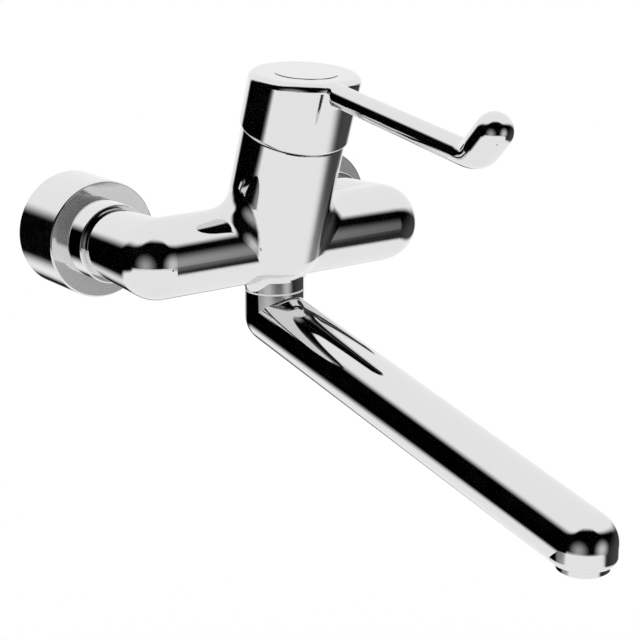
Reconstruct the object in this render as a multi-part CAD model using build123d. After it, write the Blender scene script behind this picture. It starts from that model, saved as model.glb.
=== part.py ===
# Wall-mounted single-lever mixer tap with a long elbow-operated lever.
#
# Frame: millimetres, +Z up, +X to the user's right, the user stands towards -Y.
# The origin is on the finished wall (Y = 0), midway between the two wall threads.
# "Reach" is a distance from the wall towards the user, "height" inside the tower is
# measured along the tower's own axis from the crossbar's axis.

import os
from math import acos, asin, atan2, cos, degrees, hypot, radians, sin, tan

from build123d import *

os.makedirs("parts", exist_ok=True)

# Clearances
running_gap = 0.05  # a shaft in its bore, a disc on its water film
seat_gap = 0.1  # a piece dropped into its recess
moving_gap = 0.3  # two pieces that pass each other
overrun = 2.0  # how far a cut runs past the face it opens
touching = 0.005  # an edge this near to a shape lies on it

# Wall connection
inlet_spacing = 150.0
wall_thread_r = 10.48  # G 1/2
wall_thread_length = 18.0
wall_bore_r = 7.5
union_offset = 8.0  # eccentric step from the wall thread up to the inlet axis
union_web_r = 14.0
union_web_length = 12.0
union_bore_overlap = 4.0  # length that the two bores share inside the web
outlet_thread_r = 13.2  # G 3/4
union_bore_r = 9.0

escutcheon_r = 33.0
escutcheon_depth = 36.0
escutcheon_wall = 1.5
escutcheon_edge = 1.0
escutcheon_hub_r = 17.0
escutcheon_hub_depth = 9.0

nut_r = 22.3
nut_length = 13.4
nut_edge = 0.8
nut_flange = 3.2
collar_thickness = 2.2
collar_r = 12.8
nipple_r = 11.0
nipple_bore_r = 8.0
nipple_length = 17.5  # from the collar's face into the body
washer_thickness = 2.0
filter_thickness = 0.8
filter_hole_r = 1.2
filter_hole_circle = 4.8
filter_hole_count = 6

# Body casting
bar_r = 22.0
leg_length = 42.0  # leg end to the bar axis
leg_end_r = 19.7
leg_edge = 0.6
leg_corner = 9.0
tower_lean = 19.0
tower_r = 28.5
tower_height = 68.7
tower_edge = 1.2
hub_depth = 19.0
hub_fillet = 14.0
leg_bore_r = 8.0
channel_r = 7.0
channel_end = 4.0  # where each inlet channel stops, from the middle plane

# Spout joint
neck_offset = 3.0  # swivel axis in front of the bar axis
neck_r = 16.5
boss_drop = 26.5  # lower face of the body's boss below the bar axis
boss_root_drop = 8.8  # where the boss starts, inside the bar
boss_fillet = 5.5
spigot_r = 11.35
spigot_length = 17.0
spigot_bore_r = 7.5
connector_plug_length = 9.0
glide_thickness = 1.0
o_ring_wire_r = 0.95
lower_ring_share = 0.18  # places along the spigot
groove_share = 0.45
upper_ring_share = 0.74
spout_turn = 70.0  # to each side
stop_groove_depth = 1.9
stop_tip_r = 1.4
spout_screw_r = 2.45
spout_screw_outer_r = 15.5  # from the swivel axis
screw_socket_r = 1.4

# Spout
spout_wall = 2.0
elbow_drop = 42.5
spout_slope = 12.0
outlet_throw = 252.0  # swivel axis to outlet axis
outlet_edge = 4.0
outlet_face_drop = 9.9  # outlet face below the end ball's centre
aerator_thread_r = 12.0  # M24
aerator_thread_length = 8.0
aerator_rim_r = 12.9
aerator_rim_length = 3.3
aerator_bore_r = 9.8
aerator_lip = 0.8
outlet_washer_thickness = 2.0
outlet_seat_thickness = 2.0
outlet_bore_r = 9.0
insert_wall = 1.0
insert_plate = 1.5
insert_hole_r = 0.95
insert_ring_counts = (1, 6, 12)
insert_pitch = 2.9

# Cartridge, from the chamber's floor upwards
cavity_depth = 44.7
cartridge_r = 19.8
base_thickness = 5.0
inlet_port_x = 6.2
inlet_port_front = 3.2
inlet_port_r = 2.8
outlet_port_back = 6.0
outlet_port_r = 3.2
seal_width = 1.6
seal_height = 1.5
peg_r = 1.4
peg_length = 2.5
peg_spread = 14.0
disc_thickness = 4.0
chamber_r = 17.0
moving_disc_r = 12.0
pocket_r = 10.4
pocket_front = -1.0
pocket_back = -9.6
pocket_depth = 2.0
carrier_thickness = 4.0
dowel_r = 1.2
dowel_length = 1.5
dowel_x = 8.0
dowel_front = 3.0
carrier_boss_x = 10.0
carrier_boss_y = 9.6
ball_r = 2.6
ball_shank_r = 2.0
ball_cover = 0.8  # carrier boss above the ball's centre
guide_flange_r = 16.6
guide_flange = 5.5
neck_bore_r = 12.0
housing_neck_r = 15.0
housing_shoulder = 28.0  # above the housing's lower edge
housing_neck_length = 9.5
cartridge_thread_r = 23.4
cartridge_nut_length = 8.0
cartridge_nut_slots = 6
slot_width = 4.0
slot_depth = 2.5
slot_reach = 4.0  # inward from the thread
cover_r = 26.4
cover_lip_length = 2.7
cover_lip_wall = 1.2
cover_rise = 3.5
cover_edge = 0.6
cover_opening_r = 15.8
cover_flat = 1.2

# Stem and its pivot
pivot_drop = 12.5  # pivot below the cap's rim
stem_arm = 10.0  # pivot down to the ball
stem_width = 8.0
stem_below = 4.6
pivot_pin_r = 1.75
flow_tilt = 25.0
stem_top_drop = 11.8  # stem top below the cap's top plane

# Handle
cap_r = 30.0
cap_length = 34.0  # seam to the top plane, on the tower axis
top_slope = 14.5  # top plane against the tower's square section
cap_top_edge = 4.0
rim_bore_r = 28.2
rim_lip = 0.25
rim_round = 1.5
rim_land = 1.5
cavity_r = 25.8
cavity_taper_height = 12.0
roof_thickness = 6.0
stem_boss_r = 9.5
stem_boss_rise = 11.0  # foot of the stem's boss above the seam
socket_headroom = 0.4
socket_roof = 3.0
screw_r = 2.45
screw_length = 14.0
screw_head_r = 4.25
screw_head = 4.0
hex_key = 4.0
plug_r = 17.4
plug_recess = 2.5
plug_proud = 0.7
plug_edge = 0.5
lever_axis_drop = 4.6  # lever axis below the top plane, at the tower axis
lever_rise = 11.1  # against the tower's square section
lever_root_r = 6.0
lever_r = 6.6
lever_length = 140.1  # tower axis to the bend's corner
lever_start = 27.0
lever_root_fillet = 2.5
bend_r = 18.0
grip_turn = 54.5
grip_r = 9.5
grip_length = 20.0  # bend's corner to the tip's centre
bend_steps = 6

# Derived levels
nut_back = escutcheon_depth + moving_gap
nut_front = nut_back + nut_length
leg_end_reach = nut_front + moving_gap
bar_reach = leg_end_reach + leg_length
neck_reach = bar_reach + neck_offset
bar_to_seam = tower_height + moving_gap
cap_height = bar_to_seam + cap_length
stem_top_height = cap_height - stem_top_drop
stem_boss_bottom = bar_to_seam + stem_boss_rise
lever_axis_height = cap_height - lever_axis_drop
floor_height = tower_height - cavity_depth
fixed_disc_height = floor_height + base_thickness
moving_disc_height = fixed_disc_height + disc_thickness + running_gap
carrier_height = moving_disc_height + disc_thickness
guide_height = carrier_height + carrier_thickness + moving_gap
shoulder_height = fixed_disc_height + housing_shoulder
housing_top = shoulder_height + housing_neck_length
pivot_height = bar_to_seam - pivot_drop
ball_height = pivot_height - stem_arm
disc_travel = stem_arm * radians(flow_tilt)
flange_reach = nut_front - nut_flange
washer_reach = flange_reach - collar_thickness - washer_thickness
spout_top_drop = boss_drop + seat_gap + glide_thickness
end_ball_drop = elbow_drop + outlet_throw * tan(radians(spout_slope))
outlet_face = end_ball_drop + outlet_face_drop
groove_height = spigot_length * groove_share - spout_top_drop

# Places of the sub-frames
at_bar = Pos(0, -bar_reach, union_offset)
at_tower = at_bar * Rot(tower_lean, 0, 0)
at_top = at_tower * Pos(0, 0, cap_height) * Rot(-top_slope, 0, 0)
at_neck = Pos(0, -neck_reach, union_offset)
at_outlet = at_neck * Pos(0, -outlet_throw, -outlet_face)


def at_inlet(side):
    """Frame on an inlet axis whose Z runs out from the wall."""
    return Pos(side * inlet_spacing / 2, 0, union_offset) * Rot(90, 0, 0)


def turned(*points):
    """Solid of revolution about Z from (radius, height) points."""
    return revolve(Plane.XZ * make_face(Polyline(*points, close=True)), Axis.Z)


def disc(radius, low, high):
    """Cylinder about Z between two heights."""
    return Pos(0, 0, (low + high) / 2) * Cylinder(radius, high - low)


def ring(outer, inner, low, high):
    """Ring about Z with a square section."""
    return turned((inner, low), (outer, low), (outer, high), (inner, high))


def block(x_size, back, front, low, high):
    """Box centred on X; back and front are measured towards the user."""
    middle = Pos(0, -(back + front) / 2, (low + high) / 2)
    return middle * Box(x_size, front - back, high - low)


def rod(start, end, radius):
    """Round bar between two points."""
    line = Vector(*end) - Vector(*start)
    plane = Plane(origin=start, z_dir=line)
    return plane * disc(radius, 0, line.length)


def meeting_edges(whole, first, second, inside=lambda point: True):
    """Edges of a fused solid where two of its parts meet, in the region that inside accepts."""
    found = []
    for edge in whole.edges():
        point = edge @ 0.5
        apart = max(first.distance_to(Vertex(point)), second.distance_to(Vertex(point)))
        if apart < touching and inside(point):
            found.append(edge)
    return found


def hexagon_socket(key, low, high):
    """Hexagonal key recess about Z."""
    return Pos(0, 0, low) * extrude(RegularPolygon(key / 2, 6, major_radius=False), high - low)


# Wall side


def wall_union():
    """Eccentric union: wall thread below, nut thread above, joined by an oval web."""
    low_axis = Pos(0, -union_offset, 0)
    web = Pos(0, -union_offset / 2, 0) * extrude(
        Rot(0, 0, 90) * SlotCenterToCenter(union_offset, 2 * union_web_r), union_web_length
    )
    solid = low_axis * disc(wall_thread_r, -wall_thread_length, 0) + web
    solid += disc(outlet_thread_r, 0, washer_reach)
    low_bore_end = (union_web_length + union_bore_overlap) / 2
    solid -= low_axis * disc(wall_bore_r, -wall_thread_length - overrun, low_bore_end)
    solid -= disc(union_bore_r, low_bore_end - union_bore_overlap, washer_reach + overrun)
    return solid


def escutcheon():
    """Deep round cover, open to the wall, with a threaded hub that rides on the union."""
    front = escutcheon_depth
    hub_bore = outlet_thread_r + seat_gap
    shell = turned(
        (hub_bore, front),
        (escutcheon_r, front),
        (escutcheon_r, 0),
        (escutcheon_r - escutcheon_wall, 0),
        (escutcheon_r - escutcheon_wall, front - escutcheon_wall),
        (escutcheon_hub_r, front - escutcheon_wall),
        (escutcheon_hub_r, front - escutcheon_hub_depth),
        (hub_bore, front - escutcheon_hub_depth),
    )
    rim = [e for e in shell.edges().filter_by(GeomType.CIRCLE) if e.radius > escutcheon_r - seat_gap]
    return fillet(max(rim, key=lambda edge: edge.center().Z), escutcheon_edge)


def union_nut():
    """Smooth round nut, held captive by its inner flange."""
    bore = outlet_thread_r + seat_gap
    shell = turned(
        (bore, nut_back),
        (nut_r, nut_back),
        (nut_r, nut_front),
        (nipple_r + seat_gap, nut_front),
        (nipple_r + seat_gap, flange_reach),
        (bore, flange_reach),
    )
    outer = [e for e in shell.edges().filter_by(GeomType.CIRCLE) if e.radius > nut_r - seat_gap]
    return fillet(outer, nut_edge)


def inlet_nipple():
    """Tail that the nut pulls against, screwed into the body's leg."""
    return turned(
        (nipple_bore_r, flange_reach - collar_thickness),
        (collar_r, flange_reach - collar_thickness),
        (collar_r, flange_reach),
        (nipple_r, flange_reach),
        (nipple_r, flange_reach + nipple_length),
        (nipple_bore_r, flange_reach + nipple_length),
    )


def filter_washer():
    """Flat sealing washer with a strainer across its middle."""
    top = washer_reach + washer_thickness
    solid = ring(collar_r, nipple_bore_r, washer_reach, top)
    plate = disc(nipple_bore_r + seat_gap, top - filter_thickness, top)
    holes = PolarLocations(filter_hole_circle, filter_hole_count)
    plate -= [place * disc(filter_hole_r, washer_reach, top + overrun) for place in holes]
    plate -= disc(filter_hole_r, washer_reach, top + overrun)
    return solid + plate


# Body casting


def crossbar():
    """Bar between the inlet axes, closed by the balls of its two elbows."""
    half = inlet_spacing / 2
    diagonal = bar_r * cos(radians(45))
    outline = Line((-half, -bar_r), (half, -bar_r))
    outline += ThreePointArc((half, -bar_r), (half + diagonal, -diagonal), (half + bar_r, 0))
    outline += Line((half + bar_r, 0), (-half - bar_r, 0))
    outline += ThreePointArc((-half - bar_r, 0), (-half - diagonal, -diagonal), (-half, -bar_r))
    return at_bar * revolve(Plane.XY * make_face(outline), Axis.X)


def leg():
    """Inlet leg: a cone from its end to the circle where it meets the elbow's ball."""
    span = bar_reach - leg_end_reach
    taper = atan2(span, leg_end_r) - acos(bar_r / hypot(leg_end_r, span))
    meeting = (bar_r * cos(taper), bar_reach - bar_r * sin(taper))
    return turned((0, leg_end_reach), (leg_end_r, leg_end_reach), meeting, (0, bar_reach))


def tower_form():
    """Tower with a rounded top edge and an elliptical foot below the bar's axis."""
    edge_middle = tower_edge * (1 - cos(radians(45)))
    outline = EllipticalCenterArc((0, 0), tower_r, hub_depth, start_angle=-90, arc_size=90)
    outline += Line((tower_r, 0), (tower_r, tower_height - tower_edge))
    outline += ThreePointArc(
        (tower_r, tower_height - tower_edge),
        (tower_r - edge_middle, tower_height - edge_middle),
        (tower_r - tower_edge, tower_height),
    )
    outline += Polyline((tower_r - tower_edge, tower_height), (0, tower_height), (0, -hub_depth))
    return at_tower * revolve(Plane.XZ * make_face(outline), Axis.Z)


def body_outside():
    """Bar, tower, legs and spout boss blended into one casting, its right half a mirror image."""
    bar = crossbar()
    tower = tower_form()
    casting = bar + tower
    casting = fillet(meeting_edges(casting, bar, tower), hub_fillet)
    arm = at_inlet(-1) * Rot(0, 0, 180) * leg()
    fused = casting + arm
    inner = -inlet_spacing / 2 + leg_edge
    casting = fillet(meeting_edges(fused, casting, arm, lambda point: point.X > inner), leg_corner)
    end = [edge for edge in casting.edges() if edge.bounding_box().min.Y > -leg_end_reach - leg_edge]
    casting = chamfer(end, leg_edge)
    half = split(casting, bisect_by=Plane.YZ, keep=Keep.BOTTOM)
    casting = half + mirror(half, Plane.YZ)
    boss = at_neck * disc(neck_r, -boss_drop, -boss_root_drop)
    fused = casting + boss
    return fillet(meeting_edges(fused, casting, boss), boss_fillet)


def ports(low, high, extra=0.0):
    """The cartridge's two inlet ports and its outlet port."""
    places = [(x, -inlet_port_front, inlet_port_r) for x in (-inlet_port_x, inlet_port_x)]
    places.append((0, outlet_port_back, outlet_port_r))
    return [Pos(x, y, 0) * disc(radius + extra, low, high) for x, y, radius in places]


def body_casting():
    """The casting with its waterways, cartridge chamber and spout socket."""
    casting = body_outside()
    socket_top = spigot_length + moving_gap - spout_top_drop
    cuts = [
        at_tower * disc(cartridge_r + seat_gap, floor_height, tower_height),
        at_tower * disc(cartridge_thread_r + seat_gap, shoulder_height, tower_height + overrun),
        at_neck * disc(spigot_r + running_gap, -boss_drop - overrun, socket_top),
    ]
    for side in (-1, 1):
        inlet = at_inlet(side)
        counterbore_end = flange_reach + nipple_length + moving_gap
        cuts.append(inlet * disc(nipple_r + running_gap, leg_end_reach - overrun, counterbore_end))
        cuts.append(inlet * disc(leg_bore_r, leg_end_reach, bar_reach + leg_bore_r))
        start = (side * inlet_spacing / 2, -bar_reach, union_offset)
        end = (side * channel_end, -bar_reach, union_offset)
        cuts.append(rod(start, end, channel_r))
        port = Pos(side * inlet_port_x, -inlet_port_front, 0)
        cuts.append(at_tower * port * disc(inlet_port_r, 0, floor_height + overrun))
        peg = Pos(side * peg_spread, 0, 0)
        peg_floor = floor_height - peg_length - moving_gap
        cuts.append(at_tower * peg * disc(peg_r + seat_gap, peg_floor, floor_height + overrun))
    outlet_start = (at_tower * Pos(0, outlet_port_back, floor_height)).position
    outlet_end = (at_neck * Pos(0, 0, socket_top - outlet_port_r)).position
    cuts.append(rod(tuple(outlet_start), tuple(outlet_end), outlet_port_r))
    for cut in cuts:
        casting -= cut
    screw_hole = disc(spout_screw_r + running_gap, spigot_r - stop_groove_depth, neck_r + neck_r)
    return casting - at_spout_screw() * screw_hole


def at_spout_screw():
    """Frame of the spout's retaining screw, Z pointing out of the back of the neck."""
    return at_neck * Pos(0, 0, groove_height) * Rot(-90, 0, 0)


def spout_screw():
    """Grub screw whose tip runs in the spigot's groove and stops the spout's swing."""
    tip_end = spigot_r - stop_groove_depth + moving_gap
    shoulder = spigot_r + running_gap + moving_gap
    screw = disc(stop_tip_r, tip_end, shoulder) + disc(spout_screw_r, shoulder, spout_screw_outer_r)
    key = hexagon_socket(2 * screw_socket_r, spout_screw_outer_r - screw_socket_r, spout_screw_outer_r)
    return at_spout_screw() * (screw - key)


# Spout


def spout_form(radius, top):
    """Round neck, ball elbow, sloping arm and ball end of one radius."""
    corner = (0, 0, -elbow_drop)
    end = (0, -outlet_throw, -end_ball_drop)
    form = disc(radius, -elbow_drop, top) + Pos(*corner) * Sphere(radius)
    return form + rod(corner, end, radius) + Pos(*end) * Sphere(radius)


def spout():
    """Hollow spout with an outlet boss, thread and spot face for the aerator."""
    top = -spout_top_drop
    outlet = Pos(0, -outlet_throw, -outlet_face)
    boss = disc(neck_r, 0, outlet_face_drop)
    low_edge = [e for e in boss.edges() if abs(e.center().Z) < seat_gap]
    boss = fillet(low_edge, outlet_edge)
    outside = spout_form(neck_r, top) + outlet * boss
    seat_height = aerator_thread_length + outlet_washer_thickness
    block_top = seat_height + outlet_seat_thickness
    inside = spout_form(neck_r - spout_wall, top + overrun)
    inside -= outlet * disc(neck_r + overrun, -outlet_face_drop, block_top)
    shell = outside - inside
    shell -= outlet * disc(aerator_rim_r + moving_gap, -outlet_face_drop, 0)
    shell -= outlet * disc(aerator_thread_r + running_gap, -overrun, seat_height)
    shell -= outlet * disc(outlet_bore_r, 0, block_top + overrun)
    return at_neck * shell


def stop_groove():
    """Part-turn groove that gives the spout its two stops."""
    spread = spout_turn + degrees(asin((stop_tip_r + seat_gap) / (spigot_r - stop_groove_depth)))
    half = stop_tip_r + moving_gap
    section = Pos(spigot_r, groove_height) * Rectangle(2 * stop_groove_depth, 2 * half)
    turn = Rot(0, 0, 90 - spread)
    return turn * revolve(Plane.XZ * section, Axis.Z, revolution_arc=2 * spread)


def ring_heights():
    """Heights of the two O-rings' middles, from the bar's axis."""
    return [spigot_length * share - spout_top_drop for share in (lower_ring_share, upper_ring_share)]


def spout_connector():
    """Turned spigot, fixed in the spout's neck, that swivels in the body's socket."""
    top = -spout_top_drop
    plug_r_here = neck_r - spout_wall - running_gap
    solid = disc(plug_r_here, top - connector_plug_length, top)
    solid += disc(spigot_r, top, top + spigot_length)
    for height in ring_heights():
        half = o_ring_wire_r + seat_gap
        floor = spigot_r - 2 * o_ring_wire_r - running_gap
        solid -= ring(spigot_r + overrun, floor, height - half, height + half)
    solid -= stop_groove()
    solid -= disc(spigot_bore_r, top - connector_plug_length - overrun, top + spigot_length + overrun)
    return at_neck * solid


def spout_o_rings():
    """The spigot's two O-rings."""
    rings = [
        Pos(0, 0, height) * Torus(spigot_r - o_ring_wire_r, o_ring_wire_r) for height in ring_heights()
    ]
    return at_neck * Compound(children=rings)


def glide_ring():
    """Plastic ring that the spout turns against."""
    top = -spout_top_drop
    return at_neck * ring(neck_r, spigot_r + seat_gap, top, top + glide_thickness)


def aerator_housing():
    """Threaded ring of the aerator with its visible rim."""
    high = aerator_thread_length
    return at_outlet * turned(
        (aerator_bore_r, aerator_lip - aerator_rim_length),
        (aerator_bore_r - aerator_lip, aerator_lip - aerator_rim_length),
        (aerator_bore_r - aerator_lip, -aerator_rim_length),
        (aerator_rim_r - aerator_lip, -aerator_rim_length),
        (aerator_rim_r, aerator_lip - aerator_rim_length),
        (aerator_rim_r, 0),
        (aerator_thread_r, 0),
        (aerator_thread_r, high),
        (aerator_bore_r, high),
    )


def aerator_insert():
    """Cup with a pierced plate that breaks up the jet."""
    low = aerator_lip - aerator_rim_length
    outer = aerator_bore_r - seat_gap
    cup = disc(outer, low, aerator_thread_length)
    cup -= disc(outer - insert_wall, low + insert_plate, aerator_thread_length + overrun)
    for step, count in enumerate(insert_ring_counts):
        if step == 0:
            cup -= disc(insert_hole_r, low - overrun, low + overrun)
            continue
        for place in PolarLocations(step * insert_pitch, count):
            cup -= place * disc(insert_hole_r, low - overrun, low + overrun)
    return at_outlet * cup


def aerator_washer():
    """Rubber washer above the aerator."""
    low = aerator_thread_length
    return at_outlet * ring(aerator_thread_r, outlet_bore_r, low, low + outlet_washer_thickness)


# Cartridge


def cartridge_base():
    """Port plate with seal pockets and two locating pegs."""
    solid = disc(cartridge_r, floor_height, fixed_disc_height)
    for hole in ports(floor_height - overrun, fixed_disc_height + overrun):
        solid -= hole
    for pocket in ports(floor_height - overrun, floor_height + seal_height, seal_width + running_gap):
        solid -= pocket
    for side in (-1, 1):
        solid += Pos(side * peg_spread, 0, 0) * disc(peg_r, floor_height - peg_length, floor_height)
    return at_tower * solid


def base_seals():
    """The three port seals, seated between the base and the chamber's floor."""
    top = floor_height + seal_height
    outer = ports(floor_height, top, seal_width)
    inner = ports(floor_height - overrun, top + overrun)
    return at_tower * Compound(children=[a - b for a, b in zip(outer, inner)])


def fixed_disc():
    """Lower ceramic disc with the three ports."""
    solid = disc(chamber_r - seat_gap, fixed_disc_height, fixed_disc_height + disc_thickness)
    for hole in ports(fixed_disc_height - overrun, fixed_disc_height + disc_thickness + overrun):
        solid -= hole
    return at_tower * solid


def dowels(extra, low, high):
    """Two dowels that key the moving disc to its carrier."""
    return [Pos(side * dowel_x, -dowel_front, 0) * disc(dowel_r + extra, low, high) for side in (-1, 1)]


def moving_disc():
    """Upper ceramic disc, whose pocket joins the inlets to the outlet as it slides."""
    low = moving_disc_height
    solid = disc(moving_disc_r, low, low + disc_thickness)
    pocket = disc(pocket_r, low - overrun, low + pocket_depth)
    solid -= pocket & block(2 * pocket_r, pocket_back, pocket_front, low - overrun, low + pocket_depth)
    for hole in dowels(running_gap, carrier_height - dowel_length - seat_gap, carrier_height + overrun):
        solid -= hole
    return at_tower * solid


def disc_carrier():
    """Slide that holds the moving disc and takes the stem's ball in its socket."""
    top = ball_height + ball_cover
    solid = disc(moving_disc_r, carrier_height, carrier_height + carrier_thickness)
    solid += block(carrier_boss_x, -carrier_boss_y / 2, carrier_boss_y / 2, carrier_height, top)
    for dowel in dowels(0.0, carrier_height - dowel_length, carrier_height):
        solid += dowel
    socket_floor = ball_height - ball_r - moving_gap
    return at_tower * (solid - disc(ball_r + moving_gap, socket_floor, top + overrun))


def cartridge_housing():
    """Stepped housing that holds the discs down and guides the turning neck."""
    chamber_top = guide_height + guide_flange + seat_gap
    return at_tower * turned(
        (chamber_r, fixed_disc_height),
        (cartridge_r, fixed_disc_height),
        (cartridge_r, shoulder_height),
        (housing_neck_r, shoulder_height),
        (housing_neck_r, housing_top),
        (neck_bore_r, housing_top),
        (neck_bore_r, chamber_top),
        (chamber_r, chamber_top),
    )


def cartridge_nut():
    """Slotted nut that clamps the housing's shoulder."""
    top = shoulder_height + cartridge_nut_length
    nut = ring(cartridge_thread_r, housing_neck_r + seat_gap, shoulder_height, top)
    for place in PolarLocations(cartridge_thread_r, cartridge_nut_slots):
        nut -= place * Pos(0, 0, top) * Box(2 * slot_reach, slot_width, 2 * slot_depth)
    return at_tower * nut


def cover_ring():
    """Domed cover that closes the tower's top round the cartridge's neck."""
    seat = tower_height
    lip_inner = cartridge_thread_r - cover_lip_wall
    inner_step = cover_opening_r + cover_flat
    return at_tower * turned(
        (cover_r, seat),
        (cover_r, seat + cover_edge),
        (inner_step, seat + cover_rise),
        (cover_opening_r, seat + cover_rise),
        (cover_opening_r, seat + cover_rise - cover_flat),
        (inner_step, seat + cover_rise - cover_flat),
        (lip_inner, seat + cover_edge),
        (lip_inner, seat - cover_lip_length),
        (cartridge_thread_r, seat - cover_lip_length),
        (cartridge_thread_r, seat),
    )


def stem_guide():
    """Turning guide: carries the pivot pin and drives the disc carrier round."""
    flange_top = guide_height + guide_flange
    top = housing_top - moving_gap
    solid = disc(guide_flange_r, guide_height, flange_top)
    solid += disc(neck_bore_r - running_gap, flange_top, top)
    half = stem_width / 2
    lean = radians(flow_tilt)
    back = (top - pivot_height) * tan(lean) + half / cos(lean) + moving_gap
    front = stem_arm * sin(lean) + ball_r + moving_gap
    solid -= block(stem_width + 2 * moving_gap, -back, front, guide_height - overrun, top + overrun)
    boss_back = carrier_boss_y / 2 + moving_gap
    boss_top = ball_height + ball_cover + moving_gap
    boss_slot = block(
        carrier_boss_x + 2 * moving_gap, -boss_back, boss_back + disc_travel, guide_height - overrun, boss_top
    )
    pin_hole = Pos(0, 0, pivot_height) * Rot(0, 90, 0) * Cylinder(pivot_pin_r + running_gap, 2 * neck_bore_r)
    return at_tower * (solid - boss_slot - pin_hole)


def pivot_pin():
    """Pin across the guide on which the stem rocks."""
    length = 2 * (neck_bore_r - moving_gap)
    pin = Rot(0, 90, 0) * Cylinder(pivot_pin_r, length)
    return at_tower * Pos(0, 0, pivot_height) * pin


def lever_stem():
    """Square stem with a ball at its foot and a tapped top."""
    half = stem_width / 2
    low = pivot_height - stem_below
    stem = block(stem_width, -half, half, low, stem_top_height)
    stem += disc(ball_shank_r, ball_height, low) + Pos(0, 0, ball_height) * Sphere(ball_r)
    stem -= Pos(0, 0, pivot_height) * Rot(0, 90, 0) * Cylinder(pivot_pin_r + running_gap, 2 * stem_width)
    bore_low = screw_seat() - screw_length - moving_gap
    return at_tower * (stem - disc(screw_r + running_gap, bore_low, stem_top_height + overrun))


# Handle


def socket_top():
    """Height of the stem socket's end."""
    return stem_top_height + socket_headroom


def screw_seat():
    """Height of the face under the handle screw's head."""
    return socket_top() + socket_roof


def under_plane(solid, depth):
    """The part of a solid below the cap's sloping top, less a depth."""
    plane = Plane(origin=(0, 0, cap_height), z_dir=(0, sin(radians(top_slope)), cos(radians(top_slope))))
    return split(solid, bisect_by=plane.offset(-depth), keep=Keep.BOTTOM)


def cap_form():
    """Cap with a sloping top, soft top edge and rounded rim."""
    rim_r = rim_bore_r + rim_lip
    high = cap_height + cap_r
    round_centre = (rim_r, bar_to_seam + rim_round)
    outline = EllipticalCenterArc(round_centre, cap_r - rim_r, rim_round, start_angle=-90, arc_size=90)
    outline += Polyline(
        (cap_r, bar_to_seam + rim_round), (cap_r, high), (0, high), (0, bar_to_seam), (rim_r, bar_to_seam)
    )
    cap = under_plane(revolve(Plane.XZ * make_face(outline), Axis.Z), 0)
    top_face = cap.faces().sort_by(Axis.Z)[-1]
    return fillet(top_face.edges(), cap_top_edge)


def cap_cavity():
    """Hollow of the cap, round the boss that takes the stem."""
    high = cap_height + cap_r
    hollow = turned(
        (0, bar_to_seam - overrun),
        (rim_bore_r, bar_to_seam - overrun),
        (rim_bore_r, bar_to_seam + rim_land),
        (cavity_r, bar_to_seam + cavity_taper_height),
        (cavity_r, high),
        (0, high),
    )
    hollow = under_plane(hollow, roof_thickness)
    return hollow - disc(stem_boss_r, stem_boss_bottom, high)


def lever_point(distance):
    """Point on the straight lever's axis at a distance from the tower's axis."""
    rise = radians(lever_rise)
    return Vector(0, -distance * cos(rise), lever_axis_height + distance * sin(rise))


def lever_direction(turn):
    """Direction along the lever once it has turned up by an angle in degrees."""
    angle = radians(lever_rise + turn)
    return Vector(0, -cos(angle), sin(angle))


def lever_form():
    """Round lever, flared through its bend into a ball-ended grip."""
    tangent = bend_r * tan(radians(grip_turn / 2))
    bend_start = lever_point(lever_length - tangent)
    root = lever_point(lever_start)
    shaft_length = lever_length - tangent - lever_start
    shaft_plane = Plane(origin=root, z_dir=lever_direction(0))
    shaft = shaft_plane * Pos(0, 0, shaft_length / 2) * Cone(lever_root_r, lever_r, shaft_length)
    centre = bend_start + bend_r * lever_direction(90)
    sections = []
    for step in range(bend_steps + 1):
        share = step / bend_steps
        turn = grip_turn * share
        swell = share * share * (3 - 2 * share)
        radius = lever_r + (grip_r - lever_r) * swell
        origin = centre - bend_r * lever_direction(90 + turn)
        sections.append(Plane(origin=origin, z_dir=lever_direction(turn)) * Circle(radius))
    bend = loft(sections)
    bend_end = centre - bend_r * lever_direction(90 + grip_turn)
    tip = bend_end + (grip_length - tangent) * lever_direction(grip_turn)
    grip = rod(tuple(bend_end), tuple(tip), grip_r)
    return shaft + bend + grip + Pos(tip) * Sphere(grip_r)


def handle():
    """Cap and lever in one casting, with the stem socket and the plug's recess."""
    cap = cap_form()
    lever = lever_form()
    fused = cap + lever
    fused = fillet(meeting_edges(fused, cap, lever), lever_root_fillet)
    solid = fused - cap_cavity()
    socket = stem_width + 2 * running_gap
    half = socket / 2
    solid -= block(socket, -half, half, stem_boss_bottom - overrun, socket_top())
    solid -= disc(screw_r + seat_gap, stem_boss_bottom, cap_height)
    solid -= disc(screw_head_r + moving_gap, screw_seat(), cap_height + overrun)
    recess = disc(plug_r + seat_gap, -plug_recess, cap_r)
    return at_tower * solid - at_top * recess


def handle_screw():
    """Cap screw that draws the handle onto the stem."""
    seat = screw_seat()
    screw = disc(screw_r, seat - screw_length, seat) + disc(screw_head_r, seat, seat + screw_head)
    return at_tower * (screw - hexagon_socket(hex_key, seat + screw_head / 2, seat + screw_head))


def index_plug():
    """Plain round plug that closes the screw's recess."""
    plug = disc(plug_r, -plug_recess, plug_proud)
    rim = [e for e in plug.edges() if e.center().Z > plug_proud - seat_gap]
    return at_top * fillet(rim, plug_edge)


nodes = {
    "body_casting": body_casting(),
    "cartridge_base": cartridge_base(),
    "base_seals": base_seals(),
    "fixed_disc": fixed_disc(),
    "moving_disc": moving_disc(),
    "disc_carrier": disc_carrier(),
    "cartridge_housing": cartridge_housing(),
    "cartridge_nut": cartridge_nut(),
    "cover_ring": cover_ring(),
    "stem_guide": stem_guide(),
    "pivot_pin": pivot_pin(),
    "lever_stem": lever_stem(),
    "handle": handle(),
    "handle_screw": handle_screw(),
    "index_plug": index_plug(),
    "spout": spout(),
    "spout_connector": spout_connector(),
    "spout_o_rings": spout_o_rings(),
    "glide_ring": glide_ring(),
    "spout_screw": spout_screw(),
    "aerator_housing": aerator_housing(),
    "aerator_insert": aerator_insert(),
    "aerator_washer": aerator_washer(),
}

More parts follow.
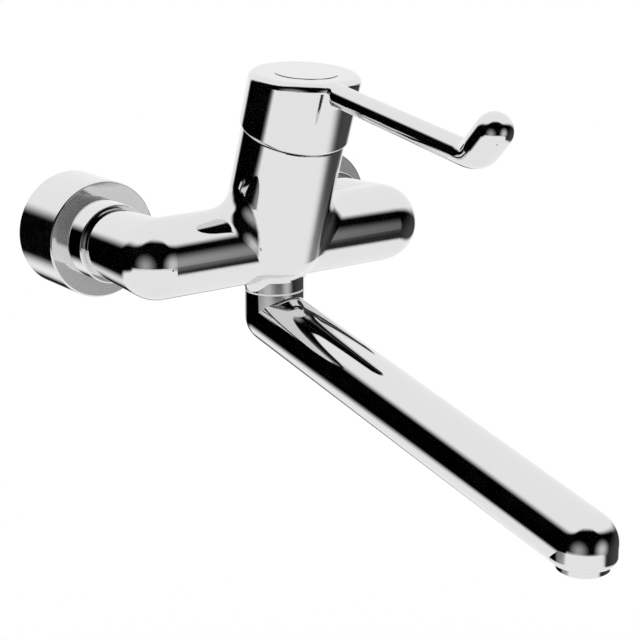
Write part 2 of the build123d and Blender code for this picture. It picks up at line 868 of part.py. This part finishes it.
for hand, side in (("left", -1), ("right", 1)):
    nodes["wall_union_" + hand] = at_inlet(side) * wall_union()
    nodes["escutcheon_" + hand] = at_inlet(side) * escutcheon()
    nodes["union_nut_" + hand] = at_inlet(side) * union_nut()
    nodes["inlet_nipple_" + hand] = at_inlet(side) * inlet_nipple()
    nodes["filter_washer_" + hand] = at_inlet(side) * filter_washer()

for name, solid in nodes.items():
    export_step(solid, "parts/" + name + ".step")
    print(name, round(solid.volume), "mm3")

pivot = (at_tower * Pos(0, 0, pivot_height)).position
front = (at_tower * Pos(0, -1, 0)).position - at_tower.position
up = (at_tower * Pos(0, 0, 1)).position - at_tower.position
print("tower axis through", at_tower.position, "along", up)
print("pivot pin at", pivot, "disc slides along", front, "by", disc_travel)
print("outlet at", at_outlet.position)
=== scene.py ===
# %% [markdown]
# # A chrome elbow-lever tap in a studio
#
# The tap's pieces come from a packed engineering model, at their real size and place. This lesson
# gives them their finishes, cuts the threads that the engineering model leaves plain, and lights
# the tap so that polished chrome reads as chrome.

import math

import bpy
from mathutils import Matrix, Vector


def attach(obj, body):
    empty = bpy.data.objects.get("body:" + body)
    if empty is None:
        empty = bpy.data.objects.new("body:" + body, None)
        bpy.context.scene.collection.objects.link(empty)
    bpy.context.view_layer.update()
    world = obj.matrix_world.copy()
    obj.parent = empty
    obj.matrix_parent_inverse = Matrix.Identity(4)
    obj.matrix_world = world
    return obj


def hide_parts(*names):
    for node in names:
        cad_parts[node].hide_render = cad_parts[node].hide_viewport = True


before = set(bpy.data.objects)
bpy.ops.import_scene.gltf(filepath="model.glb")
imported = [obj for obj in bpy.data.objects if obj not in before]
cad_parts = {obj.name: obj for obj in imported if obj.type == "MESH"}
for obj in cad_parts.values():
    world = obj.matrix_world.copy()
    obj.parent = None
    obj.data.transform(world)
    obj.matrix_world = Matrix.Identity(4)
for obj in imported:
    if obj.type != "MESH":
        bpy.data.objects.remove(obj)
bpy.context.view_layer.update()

# %% [markdown]
# ## Units and colours
#
# Sizes of real things are easier to read in millimetres, and colours in the hex form that a colour
# picker gives. A factor and a function turn them into what Blender wants: metres and linear light.

# %% Unit and colour helpers
MM = 0.001


def linear(hex_colour):
    """Linear RGBA of an sRGB hex colour."""
    shares = [int(hex_colour[i : i + 2], 16) / 255 for i in (0, 2, 4)]
    curve = [s / 12.92 if s <= 0.04045 else ((s + 0.055) / 1.055) ** 2.4 for s in shares]
    return (*curve, 1.0)


print("white in linear light", linear("FFFFFF")[:3])

# %% [markdown]
# ## Nodes
#
# Every material below is a small net of shader nodes. One function adds a node with its settings and
# its links, and another starts a material with a plain Principled surface.

# %% Node helpers


def add_node(tree, kind, settings=None, links=None, **attributes):
    """Adds a node, sets its attributes and sockets, and links outputs to its sockets."""
    node = tree.nodes.new(kind)
    for name, value in attributes.items():
        setattr(node, name, value)
    for socket, value in (settings or {}).items():
        node.inputs[socket].default_value = value
    for socket, output in (links or {}).items():
        tree.links.new(output, node.inputs[socket])
    return node


def start_material(name):
    """A new material; gives it with its tree and its Principled shader."""
    material = bpy.data.materials.new(name)
    material.use_nodes = True
    tree = material.node_tree
    return material, tree, tree.nodes["Principled BSDF"]


print("helpers", add_node.__name__, start_material.__name__)

# %% [markdown]
# ## Polished chrome
#
# Chrome plate is a hard mirror. Buffing before plating leaves two traces: a haze that changes from
# place to place and softens what the metal mirrors, and a very shallow waviness with a centimetre
# or two between its crests, which bends it. A noise pattern drives the roughness for the haze, and a
# weak bump gives the waviness. A casting was buffed by hand, so it is wavier than a drawn tube or a
# ring turned on a lathe.

# %% Chrome finishes
CHROME = linear("E2E2E3")
HAZE_PATCH = 9 * MM
NOISE_LOW = 0.35  # most of a noise pattern lies between these two values
NOISE_HIGH = 0.7


def polished_chrome(name, wave_length, wave_height, haze):
    """Chrome plate over buffed brass, with its waves in metres and its haze from least to most."""
    material, tree, shader = start_material(name)
    place = add_node(tree, "ShaderNodeTexCoord").outputs["Object"]
    patches = add_node(
        tree, "ShaderNodeTexNoise", {"Scale": 1 / HAZE_PATCH, "Detail": 3.0}, {"Vector": place}
    )
    rough = add_node(
        tree,
        "ShaderNodeMapRange",
        {"From Min": NOISE_LOW, "From Max": NOISE_HIGH, "To Min": haze[0], "To Max": haze[1]},
        {"Value": patches.outputs["Fac"]},
    )
    waves = add_node(
        tree, "ShaderNodeTexNoise", {"Scale": 1 / wave_length, "Detail": 1.0}, {"Vector": place}
    )
    bump = add_node(
        tree,
        "ShaderNodeBump",
        {"Strength": 1.0, "Distance": wave_height},
        {"Height": waves.outputs["Fac"]},
    )
    shader.inputs["Base Color"].default_value = CHROME
    shader.inputs["Metallic"].default_value = 1.0
    tree.links.new(rough.outputs["Result"], shader.inputs["Roughness"])
    tree.links.new(bump.outputs["Normal"], shader.inputs["Normal"])
    return material


chrome_casting = polished_chrome(
    "chrome_on_buffed_casting", wave_length=14 * MM, wave_height=0.012 * MM, haze=(0.03, 0.07)
)
chrome_tube = polished_chrome(
    "chrome_on_drawn_tube", wave_length=22 * MM, wave_height=0.008 * MM, haze=(0.025, 0.055)
)
chrome_turned = polished_chrome(
    "chrome_on_turned_ring", wave_length=18 * MM, wave_height=0.005 * MM, haze=(0.03, 0.06)
)
chrome_pressed = polished_chrome(
    "chrome_on_pressed_cover", wave_length=20 * MM, wave_height=0.006 * MM, haze=(0.05, 0.09)
)
print("plated castings and tubes", chrome_casting.name, chrome_tube.name)
print("plated rings and covers", chrome_turned.name, chrome_pressed.name)

# %% [markdown]
# ## A painted grey on the cover's flat face
#
# In the photograph the round cover's flat face looks grey where its side is black. What makes it grey
# can't be told from one picture, so here the grey is painted in, as a painted reflection. The
# object's own normal says which way the surface faces. Where it faces straight out of the wall, the
# surface is a little less metallic, and the share that is lost scatters the room's light as a matt
# grey.

# %% The painted grey of the flat face
PAINTED_GREY_METALLIC = 0.74
PAINTED_GREY_START = -0.9  # the normal's Y, which is -1 where a face looks straight out of the wall
PAINTED_GREY_FULL = -0.98
cover_tree = chrome_pressed.node_tree
facing = add_node(cover_tree, "ShaderNodeTexCoord").outputs["Normal"]
outward = add_node(cover_tree, "ShaderNodeSeparateXYZ", links={"Vector": facing}).outputs["Y"]
# painted reflection: the face that looks out of the wall is made less metallic, so that it shows grey
painted_grey = add_node(
    cover_tree,
    "ShaderNodeMapRange",
    {"From Min": PAINTED_GREY_START, "From Max": PAINTED_GREY_FULL, "To Min": 1.0, "To Max": PAINTED_GREY_METALLIC},
    {"Value": outward},
)
cover_shader = cover_tree.nodes["Principled BSDF"]
cover_tree.links.new(painted_grey.outputs["Result"], cover_shader.inputs["Metallic"])
print("metallic share of the flat face", PAINTED_GREY_METALLIC)

# %% [markdown]
# ## Machined metal
#
# The pieces inside the covers, the body and the tower are left unplated. Bars are turned on a lathe,
# and the tool leaves fine rings round the axis, which spread a highlight across them. A wave pattern
# with the tool's spacing gives both the roughness and a bump.

# %% Brass and steel finishes
TURNING_FEED = 0.35 * MM  # coarser than a real feed of 0.1 mm, so that it shows
RING_DEPTH = 0.01 * MM
RING_ROUGHNESS_LOW = 0.24
RING_ROUGHNESS_HIGH = 0.42
STAIN_PATCH = 11.1 * MM
WAVE_PHASE = 20  # radians that Blender's wave pattern gains in a metre at a scale of 1


def turned_metal(name, colour, stain_colour, across):
    """Lathe-turned bare metal with fine rings across one axis."""
    material, tree, shader = start_material(name)
    place = add_node(tree, "ShaderNodeTexCoord").outputs["Object"]
    rings = add_node(
        tree,
        "ShaderNodeTexWave",
        {"Scale": math.tau / TURNING_FEED / WAVE_PHASE, "Distortion": 0.4, "Detail": 2.0},
        {"Vector": place},
        wave_type="BANDS",
        bands_direction=across,
    )
    stain = add_node(
        tree, "ShaderNodeTexNoise", {"Scale": 1 / STAIN_PATCH, "Detail": 4.0}, {"Vector": place}
    )
    tint = add_node(
        tree,
        "ShaderNodeMix",
        {"A": linear(colour), "B": linear(stain_colour)},
        {"Factor": stain.outputs["Fac"]},
        data_type="RGBA",
    )
    rough = add_node(
        tree,
        "ShaderNodeMapRange",
        {"To Min": RING_ROUGHNESS_LOW, "To Max": RING_ROUGHNESS_HIGH},
        {"Value": rings.outputs["Fac"]},
    )
    bump = add_node(
        tree,
        "ShaderNodeBump",
        {"Strength": 0.4, "Distance": RING_DEPTH},
        {"Height": rings.outputs["Fac"]},
    )
    shader.inputs["Metallic"].default_value = 1.0
    tree.links.new(tint.outputs["Result"], shader.inputs["Base Color"])
    tree.links.new(rough.outputs["Result"], shader.inputs["Roughness"])
    tree.links.new(bump.outputs["Normal"], shader.inputs["Normal"])
    return material


turned_brass = turned_metal("turned_brass", "D9B36A", "B98E46", across="Y")
turned_steel = turned_metal("turned_stainless_steel", "C6C7C9", "A9ABAE", across="X")
print("bare metals", turned_brass.name, turned_steel.name)

# %% [markdown]
# ## Moulded and fired pieces
#
# Acetal and ABS come out of a steel mould with a fine spark-eroded grain, which makes their
# highlights soft and even. Rubber washers are darker and rougher, and lapped alumina is almost as
# smooth as glass. One function covers them, with the grain's size and depth as its arguments.

# %% Plastic, rubber and ceramic finishes
MOULD_GRAIN = 0.5 * MM  # these grains are coarser than real ones of 0.1 mm or less, so that they show
RUBBER_GRAIN = 0.7 * MM
LAPPED_GRAIN = 1.0 * MM
CLOUD_PATCH = 16.7 * MM
ROUGHNESS_SPREAD = 0.15


def moulded(name, colour, shade_colour, roughness, grain, depth):
    """A non-metal with a surface grain, its size and depth in metres."""
    material, tree, shader = start_material(name)
    place = add_node(tree, "ShaderNodeTexCoord").outputs["Object"]
    pores = add_node(
        tree, "ShaderNodeTexNoise", {"Scale": 1 / grain, "Detail": 2.0}, {"Vector": place}
    )
    cloud = add_node(
        tree, "ShaderNodeTexNoise", {"Scale": 1 / CLOUD_PATCH, "Detail": 2.0}, {"Vector": place}
    )
    tint = add_node(
        tree,
        "ShaderNodeMix",
        {"A": linear(colour), "B": linear(shade_colour)},
        {"Factor": cloud.outputs["Fac"]},
        data_type="RGBA",
    )
    smoothest = roughness * (1 - ROUGHNESS_SPREAD)
    roughest = roughness * (1 + ROUGHNESS_SPREAD)
    rough = add_node(
        tree,
        "ShaderNodeMapRange",
        {"To Min": smoothest, "To Max": roughest},
        {"Value": pores.outputs["Fac"]},
    )
    bump = add_node(
        tree,
        "ShaderNodeBump",
        {"Strength": 0.5, "Distance": depth},
        {"Height": pores.outputs["Fac"]},
    )
    tree.links.new(tint.outputs["Result"], shader.inputs["Base Color"])
    tree.links.new(rough.outputs["Result"], shader.inputs["Roughness"])
    tree.links.new(bump.outputs["Normal"], shader.inputs["Normal"])
    return material


acetal = moulded(
    "moulded_white_acetal", "EFEFED", "E6E6E3", roughness=0.4, grain=MOULD_GRAIN, depth=0.02 * MM
)
grey_abs = moulded(
    "moulded_grey_abs", "8E9194", "7F8285", roughness=0.45, grain=MOULD_GRAIN, depth=0.02 * MM
)
black_rubber = moulded(
    "moulded_black_rubber", "1B1B1C", "262627", roughness=0.65, grain=RUBBER_GRAIN, depth=0.03 * MM
)
alumina = moulded(
    "lapped_alumina", "EFEBDD", "E6E1D0", roughness=0.12, grain=LAPPED_GRAIN, depth=0.002 * MM
)
print("moulded", acetal.name, grey_abs.name, black_rubber.name, "and fired", alumina.name)

# %% [markdown]
# ## Give every node its finish
#
# The record names a material slot for each node, but the chrome differs with how a piece was made,
# so the pieces are listed by their making. The meshes stay as they are: only their material changes.

# %% Assign the finishes
SIDES = ("left", "right")


def pair(name):
    """Names of a node's left and right copies."""
    return [name + "_" + side for side in SIDES]


FINISHES = {
    chrome_casting: ["body_casting", "handle"],
    chrome_tube: ["spout"],
    chrome_turned: ["cover_ring", "index_plug", "aerator_housing"] + pair("union_nut"),
    chrome_pressed: pair("escutcheon"),
    turned_brass: ["cartridge_nut", "lever_stem", "spout_connector"]
    + pair("wall_union")
    + pair("inlet_nipple"),
    turned_steel: ["pivot_pin", "handle_screw", "spout_screw"],
    acetal: ["cartridge_base", "cartridge_housing", "stem_guide", "disc_carrier", "glide_ring"],
    grey_abs: ["aerator_insert"],
    black_rubber: ["base_seals", "spout_o_rings", "aerator_washer"] + pair("filter_washer"),
    alumina: ["fixed_disc", "moving_disc"],
}
for finish, names in FINISHES.items():
    for name in names:
        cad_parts[name].material_slots[0].material = finish
left_over = set(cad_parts) - {name for names in FINISHES.values() for name in names}
print("nodes without a finish", sorted(left_over))

# %% [markdown]
# ## Threads on the wall unions
#
# Pipe threads of these sizes have 14 turns to the inch. Each union has two: one screws into the wall,
# and the nut screws on the other, whose axis lies a step higher, so that turning the unions evens out
# a wall's crooked inlets. A thread's sizes are the height of its axis above the wall's inlet, its
# radius, where its cut starts and how many turns it has.

# %% Thread sizes
INLET_X = 75 * MM
UNION_STEP = 8 * MM
INCH = 25.4 * MM
PITCH = INCH / 14
THREAD_DEPTH = 1.16 * MM
WALL_THREAD = {"axis_z": 0.0, "radius": 10.48 * MM, "start": 1.5 * MM, "turns": 11}
NUT_THREAD = {"axis_z": UNION_STEP, "radius": 13.2 * MM, "start": -44 * MM, "turns": 16}
print("pitch in mm", round(PITCH / MM, 3))

# %% [markdown]
# ## A coiled cutter
#
# A lathe cuts a thread with a pointed tool that moves along the bar as it turns. The Screw modifier
# does the same to a triangle that points at the axis, which is Y. The coil's two ends are closed, so
# that the cutter is a solid.

# %% The cutter of one thread
TOOL_RADIUS = 1.0 * MM  # of the triangle's corners, which leaves a flat crest between turns
THREAD_STEPS = 48


def thread_cutter(axis_x, axis_z, radius, start, turns):
    """Solid cutter for a right-hand thread round an axis along Y."""
    bpy.ops.object.select_all(action="DESELECT")
    middle = radius - THREAD_DEPTH + TOOL_RADIUS
    bpy.ops.mesh.primitive_circle_add(
        vertices=3, radius=TOOL_RADIUS, location=(middle, start, 0), rotation=(0, 0, math.pi / 2)
    )
    cutter = bpy.context.object
    bpy.ops.object.transform_apply(location=True, rotation=True, scale=True)
    coil = cutter.modifiers.new("coil", "SCREW")
    coil.axis = "Y"
    coil.screw_offset = PITCH
    coil.iterations = turns
    coil.steps = coil.render_steps = THREAD_STEPS
    bpy.ops.object.modifier_apply(modifier=coil.name)
    bpy.ops.object.mode_set(mode="EDIT")
    bpy.ops.mesh.select_all(action="SELECT")
    bpy.ops.mesh.fill_holes(sides=3)
    bpy.ops.mesh.normals_make_consistent(inside=False)
    bpy.ops.object.mode_set(mode="OBJECT")
    cutter.location = (axis_x, 0, axis_z)
    bpy.ops.object.transform_apply(location=True, rotation=True, scale=True)
    return cutter


print("helper", thread_cutter.__name__, "with", THREAD_STEPS, "steps in a turn")

# %% [markdown]
# ## Cut the threads
#
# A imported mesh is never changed, so the threads are cut into a copy of each union by a Boolean
# modifier. The copy keeps the union's brass and stands for it in the picture. The model's triangles
# are loose, so the corners that they share are merged first.

# %% Threaded copies of the wall unions
WELD = 0.001 * MM
CREASE = math.radians(25)


def pick(piece):
    """Selects one object alone and makes it the active one."""
    bpy.ops.object.select_all(action="DESELECT")
    piece.select_set(True)
    bpy.context.view_layer.objects.active = piece


for side, inlet_x in zip(SIDES, (-INLET_X, INLET_X)):
    node_name = "wall_union_" + side
    union = bpy.data.objects.new("threaded_union_" + side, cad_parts[node_name].data.copy())
    bpy.context.collection.objects.link(union)
    pick(union)
    bpy.ops.object.mode_set(mode="EDIT")
    bpy.ops.mesh.select_all(action="SELECT")
    bpy.ops.mesh.remove_doubles(threshold=WELD)
    bpy.ops.object.mode_set(mode="OBJECT")
    for thread in (WALL_THREAD, NUT_THREAD):
        cutter = thread_cutter(inlet_x, **thread)
        pick(union)
        cut = union.modifiers.new("thread", "BOOLEAN")
        cut.operation = "DIFFERENCE"
        cut.object = cutter
        bpy.ops.object.modifier_apply(modifier=cut.name)
        bpy.data.objects.remove(cutter)
    bpy.ops.object.shade_smooth_by_angle(angle=CREASE)
    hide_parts(node_name)
    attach(union, "tap_body")
    union.visible_glossy = False  # it is inside the cover, which the mirrors leave out as well
    print(union.name, len(union.data.polygons), "faces")

# %% [markdown]
# ## The studio
#
# Polished metal shows its surroundings and little else. The tap stands in a white room, and what
# draws its shape is a long dark screen with soft edges that curves round the photographer's side.
# The world's colour depends on the ray's direction: how far it is turned round from the tap's front
# and how high it points, both in degrees.

# %% Turn and height of a direction
world = bpy.data.worlds.new("white_room")
bpy.context.scene.world = world
world.use_nodes = True
room = world.node_tree
room.nodes.clear()
ray = add_node(room, "ShaderNodeTexCoord").outputs["Generated"]
parts = add_node(room, "ShaderNodeSeparateXYZ", links={"Vector": ray})
to_user = add_node(room, "ShaderNodeMath", {1: -1.0}, {0: parts.outputs["Y"]}, operation="MULTIPLY")
round_it = add_node(
    room, "ShaderNodeMath", links={0: parts.outputs["X"], 1: to_user.outputs[0]}, operation="ARCTAN2"
)
above_it = add_node(room, "ShaderNodeMath", links={0: parts.outputs["Z"]}, operation="ARCSINE")
both = add_node(
    room, "ShaderNodeCombineXYZ", links={"X": round_it.outputs[0], "Y": above_it.outputs[0]}
)
angles = add_node(
    room, "ShaderNodeVectorMath", {"Scale": math.degrees(1)}, {0: both.outputs[0]}, operation="SCALE"
).outputs["Vector"]
degrees = add_node(room, "ShaderNodeSeparateXYZ", links={"Vector": angles})
turn, height = degrees.outputs["X"], degrees.outputs["Y"]
print("direction nodes", len(room.nodes))

# %% [markdown]
# ## The dark screen
#
# The screen's outline is drawn as two curves over the whole round: its top edge, which arches up
# behind the camera, and its foot, which sinks at the right and behind the tap. Each pair below is a
# turn and a height in degrees. The turns were chosen one by one. The heights were fitted to the dark
# bands on the photograph's chrome by least squares and then rounded, and a few were moved.

# %% Draw the screen's edges
SCREEN_TOP = [
    (-180, -12), (-165, 8), (-150, 19), (-135, 30), (-105, 40), (-90, 47), (-70, 61), (-45, 66),
    (5, 59), (20, 45), (50, 31), (70, 21), (90, 8), (110, -3), (130, -20), (180, -12),
]
SCREEN_FOOT = [
    (-180, -27), (-160, -29), (-140, -25), (-108, -22), (-97, -16), (-85, -16), (-30, -17),
    (10, -18), (30, -24), (39, -36), (50, -37), (75, -36), (95, -31), (130, -18), (150, -33),
    (180, -27),
]
HALF_TURN = 180.0
QUARTER_TURN = 90.0


def edge_curve(points):
    """Height of an outline at the ray's turn, in degrees, from (turn, height) points."""
    share = add_node(
        room, "ShaderNodeMapRange", {"From Min": -HALF_TURN, "From Max": HALF_TURN}, {"Value": turn}
    )
    outline = add_node(
        room, "ShaderNodeFloatCurve", {"Factor": 1.0}, {"Value": share.outputs["Result"]}
    )
    curve = outline.mapping.curves[0]
    places = [
        ((t + HALF_TURN) / (2 * HALF_TURN), (h + QUARTER_TURN) / (2 * QUARTER_TURN))
        for t, h in points
    ]
    curve.points[0].location = places[0]
    curve.points[1].location = places[-1]
    for place in places[1:-1]:
        curve.points.new(*place)
    for point in curve.points:
        point.handle_type = "AUTO_CLAMPED"
    outline.mapping.update()
    in_degrees = {"To Min": -QUARTER_TURN, "To Max": QUARTER_TURN}
    scaled = add_node(room, "ShaderNodeMapRange", in_degrees, {"Value": outline.outputs[0]})
    return scaled.outputs["Result"]


top_edge = edge_curve(SCREEN_TOP)
foot_edge = edge_curve(SCREEN_FOOT)
print("points of the top", len(SCREEN_TOP), "and of the foot", len(SCREEN_FOOT))

# %% [markdown]
# ## Soft edges
#
# Both edges fade over some degrees, as the dark bands on the photograph's chrome do, and the fit gave
# how many. A ray is on the screen where it is below the top and above the foot, so the two fades are
# multiplied.

# %% Blur the edges
TOP_BLUR = 8.3
FOOT_BLUR = 4.7
below_top = add_node(room, "ShaderNodeMath", links={0: top_edge, 1: height}, operation="SUBTRACT")
above_foot = add_node(room, "ShaderNodeMath", links={0: height, 1: foot_edge}, operation="SUBTRACT")
top_fade = add_node(
    room,
    "ShaderNodeMapRange",
    {"From Min": -TOP_BLUR, "From Max": TOP_BLUR},
    {"Value": below_top.outputs[0]},
    interpolation_type="SMOOTHSTEP",
)
foot_fade = add_node(
    room,
    "ShaderNodeMapRange",
    {"From Min": -FOOT_BLUR, "From Max": FOOT_BLUR},
    {"Value": above_foot.outputs[0]},
    interpolation_type="SMOOTHSTEP",
)
screen = add_node(
    room,
    "ShaderNodeMath",
    links={0: top_fade.outputs["Result"], 1: foot_fade.outputs["Result"]},
    operation="MULTIPLY",
).outputs[0]
print("blur in degrees", TOP_BLUR, "at the top and", FOOT_BLUR, "at the foot")

# %% [markdown]
# ## Dim windows in the screen
#
# Three patches of light, all weaker than the room's, fade out in all directions. They give the grey
# bands on the elbow, the crossbar and the spout's end, which keep the black from looking flat. Their
# places and strengths come from the fit as well.

# %% Put the patches in


def glow(centre, reach, strength):
    """A patch of light round a (turn, height), which fades out at its reach, in degrees."""
    offset = add_node(
        room, "ShaderNodeVectorMath", {1: (*centre, 0.0)}, {0: angles}, operation="SUBTRACT"
    )
    share = add_node(
        room, "ShaderNodeVectorMath", {1: (*reach, 1.0)}, {0: offset.outputs[0]}, operation="DIVIDE"
    )
    away = add_node(room, "ShaderNodeVectorMath", links={0: share.outputs[0]}, operation="LENGTH")
    fade = add_node(
        room,
        "ShaderNodeMapRange",
        {"From Min": 1.0, "From Max": 0.0, "To Max": strength},
        {"Value": away.outputs["Value"]},
        interpolation_type="SMOOTHSTEP",
    )
    return fade.outputs["Result"]


left_glow = glow(centre=(-60.0, -7.0), reach=(36.0, 38.0), strength=0.38)
right_glow = glow(centre=(16.0, -6.0), reach=(31.0, 33.0), strength=0.68)
far_glow = glow(centre=(90.0, -23.0), reach=(81.0, 41.0), strength=0.07)
two_glows = add_node(room, "ShaderNodeMath", links={0: left_glow, 1: right_glow}, operation="ADD")
glows = add_node(
    room, "ShaderNodeMath", links={0: two_glows.outputs[0], 1: far_glow}, operation="ADD"
)
reflected = add_node(
    room, "ShaderNodeMix", {"A": 1.0}, {"Factor": screen, "B": glows.outputs[0]}, data_type="FLOAT"
)
print("world nodes so far", len(room.nodes))

# %% [markdown]
# ## What each ray sees
#
# The camera sees plain white behind the tap, mirrors see the room with its screen, and matt surfaces
# are lit evenly, a little below white.

# %% White for the camera, the room for glossy rays
ROOM_LIGHT = 0.9
paths = add_node(room, "ShaderNodeLightPath")
plain = add_node(
    room,
    "ShaderNodeMix",
    {"A": ROOM_LIGHT, "B": 1.0},
    {"Factor": paths.outputs["Is Camera Ray"]},
    data_type="FLOAT",
)
strength = add_node(
    room,
    "ShaderNodeMix",
    links={
        "Factor": paths.outputs["Is Glossy Ray"],
        "A": plain.outputs["Result"],
        "B": reflected.outputs["Result"],
    },
    data_type="FLOAT",
)
shine = add_node(
    room,
    "ShaderNodeBackground",
    {"Color": linear("FFFFFF")},
    {"Strength": strength.outputs["Result"]},
)
add_node(room, "ShaderNodeOutputWorld", links={"Surface": shine.outputs["Background"]})
print("world nodes", len(room.nodes))

# %% [markdown]
# ## What the mirrors leave out
#
# Real chrome mirrors the spout, the handle and the wall covers too. In the photograph their images
# hardly show, apart from dark curves under the boss, and here they would break up its clean bands. An
# object in Blender can be hidden from mirrors alone, by switching off its visibility to glossy rays.
# That is done for these and for the pieces inside them, as a liberty taken for the likeness.

# %% Keep some pieces out of the mirrors
NOT_MIRRORED = ["spout", "spout_connector", "spout_o_rings", "handle", "lever_stem", "handle_screw"]
NOT_MIRRORED += ["index_plug"] + pair("escutcheon") + pair("inlet_nipple")
for name in NOT_MIRRORED:
    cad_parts[name].visible_glossy = False
print("not mirrored", len(NOT_MIRRORED))

# %% [markdown]
# ## The floor
#
# The floor is far below the tap, as a floor under a wall tap is. It is a wide disc, because a round
# rim has no corners that could show.

# %% A round floor
FLOOR_HEIGHT = -0.7
FLOOR_RADIUS = 1.15
FLOOR_MIDDLE = -0.15  # under the middle of the spout
bpy.ops.object.select_all(action="DESELECT")
bpy.ops.mesh.primitive_circle_add(
    vertices=96, radius=FLOOR_RADIUS, fill_type="TRIFAN", location=(0, FLOOR_MIDDLE, FLOOR_HEIGHT)
)
floor = bpy.context.object
floor.name = "studio_floor"
print("floor with a radius of", FLOOR_RADIUS, "m")

# %% [markdown]
# ## Matt white floor paint
#
# Emulsion paint scatters light evenly, so a Diffuse shader is enough. It fades out towards the rim so
# that no horizon shows, and it is see-through from below, for views from under the tap.

# %% Paint that fades at the rim
FADE_START = 0.6 * FLOOR_RADIUS
FADE_END = 0.98 * FLOOR_RADIUS
floor_paint, floor_tree, unused_shader = start_material("matt_white_floor_paint")
floor_tree.nodes.remove(unused_shader)
spot = add_node(floor_tree, "ShaderNodeTexCoord").outputs["Object"]
distance = add_node(floor_tree, "ShaderNodeVectorMath", links={0: spot}, operation="LENGTH")
rim = add_node(
    floor_tree,
    "ShaderNodeMapRange",
    {"From Min": FADE_START, "From Max": FADE_END},
    {"Value": distance.outputs["Value"]},
    interpolation_type="SMOOTHSTEP",
)
below = add_node(floor_tree, "ShaderNodeNewGeometry").outputs["Backfacing"]
clear = add_node(
    floor_tree, "ShaderNodeMath", links={0: rim.outputs["Result"], 1: below}, operation="MAXIMUM"
)
paint = add_node(floor_tree, "ShaderNodeBsdfDiffuse", {"Color": linear("FFFFFF")})
air = add_node(floor_tree, "ShaderNodeBsdfTransparent")
blend = add_node(
    floor_tree,
    "ShaderNodeMixShader",
    links={0: clear.outputs[0], 1: paint.outputs["BSDF"], 2: air.outputs["BSDF"]},
)
floor_surface = floor_tree.nodes["Material Output"].inputs["Surface"]
floor_tree.links.new(blend.outputs["Shader"], floor_surface)
floor.data.materials.append(floor_paint)
print("floor paint", floor_paint.name)

# %% [markdown]
# ## The lamp
#
# One wide round lamp overhead adds a soft light from above to the even light of the room. It is
# hidden from mirrors, where its round shape would show as a white spot on every ball.

# %% The overhead lamp
LAMP_SIZE = 1.6
LAMP_PLACE = (0.1, -0.3, 1.9)
LAMP_POWER = 8.0
bpy.ops.object.light_add(type="AREA", location=LAMP_PLACE)
lamp = bpy.context.object
lamp.name = "overhead_softbox"
lamp.data.shape = "DISK"
lamp.data.size = LAMP_SIZE
lamp.data.energy = LAMP_POWER
lamp.visible_glossy = False
print("lamp", LAMP_POWER, "W")

# %% [markdown]
# ## The camera
#
# The photograph was taken from the tap's left front. The camera's angles, distance, aim and lens were
# fitted to its outlines by least squares, and give a short telephoto lens. The Standard view shows the
# tones as they are, so that the background stays white.

# %% Place the camera
AIM = Vector((27.86, -100.0, -41.32)) * MM
CAMERA_DISTANCE = 1.1
CAMERA_TURN = math.radians(36.23)
CAMERA_RISE = math.radians(15.94)
SENSOR_WIDTH = 36.0
FOCAL_LENGTH = 108.86
to_camera = Vector(
    (
        -math.sin(CAMERA_TURN) * math.cos(CAMERA_RISE),
        -math.cos(CAMERA_TURN) * math.cos(CAMERA_RISE),
        math.sin(CAMERA_RISE),
    )
)
bpy.ops.object.camera_add(location=AIM + to_camera * CAMERA_DISTANCE)
camera = bpy.context.object
camera.rotation_euler = (-to_camera).to_track_quat("-Z", "Y").to_euler()
camera.data.sensor_width = SENSOR_WIDTH
camera.data.lens = FOCAL_LENGTH
bpy.context.scene.camera = camera
bpy.context.scene.view_settings.view_transform = "Standard"
print("camera at", tuple(round(v, 3) for v in camera.location))
